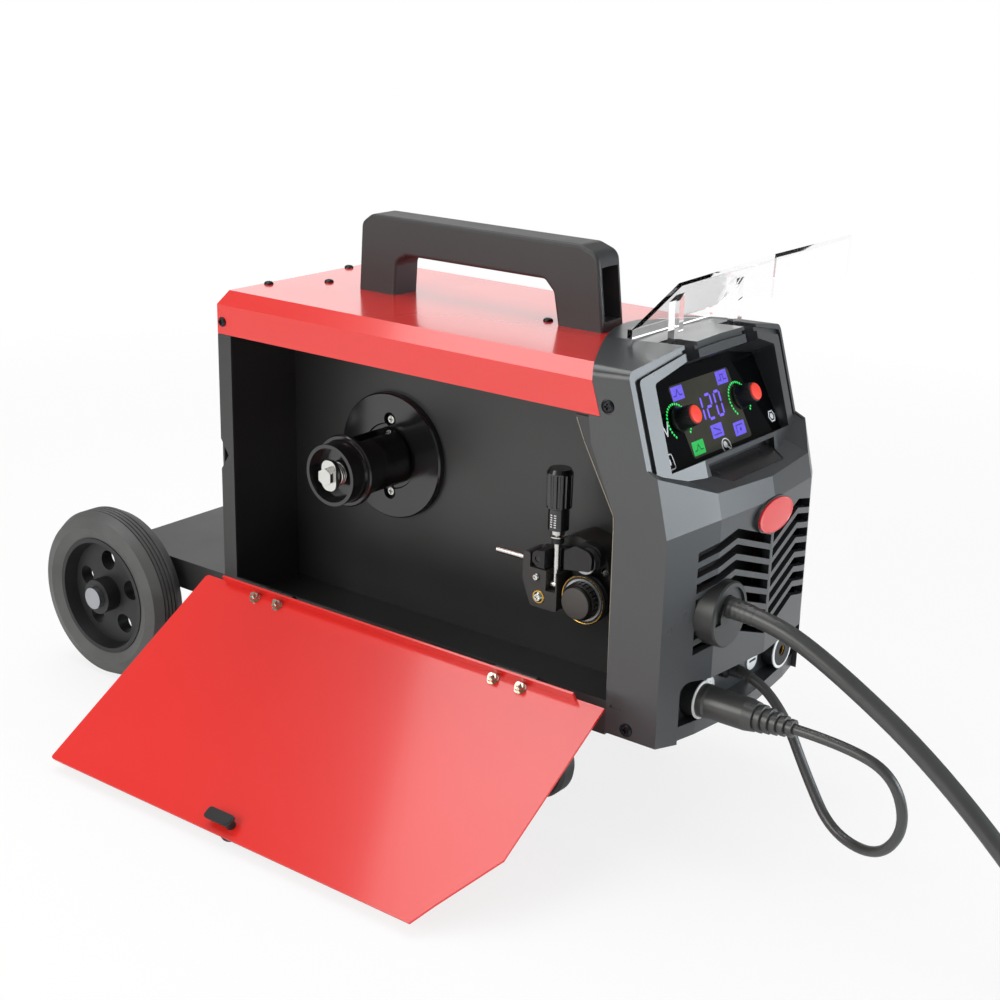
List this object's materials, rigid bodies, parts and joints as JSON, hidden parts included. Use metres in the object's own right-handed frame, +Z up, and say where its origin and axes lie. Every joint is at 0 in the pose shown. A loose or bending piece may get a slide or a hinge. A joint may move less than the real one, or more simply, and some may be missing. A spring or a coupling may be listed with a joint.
{
  "type": "mig welding machine",
  "caption": "Portable MIG welding inverter on wheels with an open side door, wire feeder, spool holder, control panel and torch",
  "frame": {"origin": "middle of the footprint of the machine without its cords, at floor level", "axes": "-Y is the front with the control panel, +Z is up, -X is the door side"},
  "size_m": [0.617, 1.2303, 0.456],
  "materials": {
    "red_paint": "gloss",
    "black_steel": "satin",
    "grey_shell": "satin",
    "black_plastic": "gloss",
    "matte_black_plastic": "matte",
    "red_plastic": "matte",
    "clear_plastic": "gloss",
    "zinc": "bright",
    "steel": "satin",
    "aluminium": "satin",
    "brass": "satin",
    "tyre": "matte",
    "rubber": "matte",
    "circuit_board": "gloss"
  },
  "bodies": {
    "cabinet": {"badge": "red_plastic", "base_tray": "black_steel", "brake_spring": "zinc", "cable_glands": "matte_black_plastic", "case_screws": "black_steel", "castor_plates": "zinc", "circuit_boards": "circuit_board", "clamp_plate": "zinc", "control_panel": "black_plastic", "divider_panel": "black_steel", "fan_frame": "matte_black_plastic", "feed_motor": "black_steel", "feeder_body": "aluminium", "front_bezel": "grey_shell", "front_frame": "black_steel", "gas_valve": "brass", "handle": "matte_black_plastic", "heat_sink": "aluminium", "hinge_leaves": "black_steel", "polarity_lead": "rubber", "polarity_plug": "rubber", "rear_axle": "steel", "rear_panel": "black_steel", "sockets": "brass", "spool_holder": "black_plastic", "switch_body": "matte_black_plastic", "top_cover": "red_paint", "torch_coil": "rubber", "torch_handle": "matte_black_plastic", "torch_hose": "rubber", "torch_neck": "rubber", "torch_nozzle": "brass", "torch_socket": "matte_black_plastic", "zinc_screws": "zinc"},
    "knob_left": {"knob_left": "matte_black_plastic"},
    "knob_right": {"knob_right": "matte_black_plastic"},
    "clear_cover": {"clear_cover": "clear_plastic"},
    "side_door": {"side_door": "red_paint", "door_leaves": "black_steel", "door_nuts": "zinc"},
    "door_latch": {"door_latch": "matte_black_plastic"},
    "spool_sleeve": {"spool_sleeve": "black_plastic"},
    "cup_nut": {"cup_nut": "black_plastic"},
    "drive_roll": {"drive_roll": "steel", "roll_cap": "matte_black_plastic"},
    "pressure_arm": {"pressure_arm": "matte_black_plastic"},
    "pressure_roll": {"pressure_roll": "steel"},
    "tension_spindle": {"tension_spindle": "zinc"},
    "tension_knob": {"tension_knob": "matte_black_plastic"},
    "fan_rotor": {"fan_rotor": "matte_black_plastic"},
    "power_rocker": {"power_rocker": "red_plastic"},
    "wheel_near": {"tyre_near": "tyre", "rim_near": "matte_black_plastic"},
    "wheel_far": {"tyre_far": "tyre", "rim_far": "matte_black_plastic"},
    "castor_fork_near": {"castor_fork_near": "zinc"},
    "castor_fork_far": {"castor_fork_far": "zinc"},
    "castor_wheel_near": {"castor_wheel_near": "rubber"},
    "castor_wheel_far": {"castor_wheel_far": "rubber"},
    "torch_trigger": {"torch_trigger": "red_plastic"}
  },
  "joints": [
    {"name": "knob_left_turn", "type": "hinge", "parent": "cabinet", "child": "knob_left", "pos_m": [0.02653, -0.26853, 0.32267], "axis": [0, -0.8829, 0.4695], "continuous": true},
    {"name": "knob_right_turn", "type": "hinge", "parent": "cabinet", "child": "knob_right", "pos_m": [0.11453, -0.26853, 0.32267], "axis": [0, -0.8829, 0.4695], "continuous": true},
    {"name": "clear_cover_flip", "type": "hinge", "parent": "cabinet", "child": "clear_cover", "pos_m": [0.07053, -0.261, 0.373], "axis": [1, 0, 0], "range_deg": [0, 92]},
    {"name": "side_door_swing", "type": "hinge", "parent": "cabinet", "child": "side_door", "pos_m": [-0.04447, -0.0535, 0.119], "axis": [0, -1, 0], "range_deg": [-121.5, 0]},
    {"name": "door_latch_turn", "type": "hinge", "parent": "side_door", "child": "door_latch", "pos_m": [-0.21949, -0.0475, 0.01609], "axis": [-0.5225, 0, 0.8526], "range_deg": [-90, 0]},
    {"name": "spool_sleeve_spin", "type": "hinge", "parent": "cabinet", "child": "spool_sleeve", "pos_m": [0.02053, 0.0255, 0.232], "axis": [-1, 0, 0], "continuous": true},
    {"name": "cup_nut_turn", "type": "hinge", "parent": "spool_sleeve", "child": "cup_nut", "pos_m": [-0.01947, 0.0255, 0.232], "axis": [-1, 0, 0], "continuous": true},
    {"name": "drive_roll_spin", "type": "hinge", "parent": "cabinet", "child": "drive_roll", "pos_m": [0.01053, -0.2045, 0.171], "axis": [-1, 0, 0], "continuous": true},
    {"name": "pressure_arm_lift", "type": "hinge", "parent": "cabinet", "child": "pressure_arm", "pos_m": [0.01253, -0.1635, 0.196], "axis": [-1, 0, 0], "range_deg": [0, 12]},
    {"name": "pressure_roll_spin", "type": "hinge", "parent": "pressure_arm", "child": "pressure_roll", "pos_m": [0.01053, -0.2045, 0.2018], "axis": [-1, 0, 0], "continuous": true},
    {"name": "tension_spindle_tilt", "type": "hinge", "parent": "cabinet", "child": "tension_spindle", "pos_m": [0.01053, -0.1765, 0.176], "axis": [0, -1, 0], "range_deg": [0, 60]},
    {"name": "tension_knob_turn", "type": "hinge", "parent": "tension_spindle", "child": "tension_knob", "pos_m": [0.01053, -0.1765, 0.243], "axis": [0, 0, 1], "continuous": true},
    {"name": "fan_spin", "type": "hinge", "parent": "cabinet", "child": "fan_rotor", "pos_m": [0.11753, 0.1295, 0.278], "axis": [0, 1, 0], "continuous": true},
    {"name": "power_switch_rock", "type": "hinge", "parent": "cabinet", "child": "power_rocker", "pos_m": [0.15253, 0.1425, 0.186], "axis": [1, 0, 0], "range_deg": [0, 24]},
    {"name": "wheel_near_spin", "type": "hinge", "parent": "cabinet", "child": "wheel_near", "pos_m": [-0.06247, 0.2665, 0.078], "axis": [1, 0, 0], "continuous": true},
    {"name": "wheel_far_spin", "type": "hinge", "parent": "cabinet", "child": "wheel_far", "pos_m": [0.20353, 0.2665, 0.078], "axis": [1, 0, 0], "continuous": true},
    {"name": "castor_swivel_near", "type": "hinge", "parent": "cabinet", "child": "castor_fork_near", "pos_m": [-0.00447, -0.2005, 0.073], "axis": [0, 0, 1], "continuous": true},
    {"name": "castor_wheel_near_spin", "type": "hinge", "parent": "castor_fork_near", "child": "castor_wheel_near", "pos_m": [-0.00447, -0.1765, 0.03], "axis": [1, 0, 0], "continuous": true},
    {"name": "castor_swivel_far", "type": "hinge", "parent": "cabinet", "child": "castor_fork_far", "pos_m": [0.14553, -0.2005, 0.073], "axis": [0, 0, 1], "continuous": true},
    {"name": "castor_wheel_far_spin", "type": "hinge", "parent": "castor_fork_far", "child": "castor_wheel_far", "pos_m": [0.14553, -0.1765, 0.03], "axis": [1, 0, 0], "continuous": true},
    {"name": "torch_trigger_pull", "type": "hinge", "parent": "cabinet", "child": "torch_trigger", "pos_m": [0.25682, -0.82289, 0.01655], "axis": [-0.0349, 0, -0.9994], "range_deg": [0, 5], "stiffness_Nm_per_rad": 0.2}
  ],
  "couplings": [
    {"joint": "pressure_roll_spin", "follows": "drive_roll_spin", "ratio": -2}
  ]
}
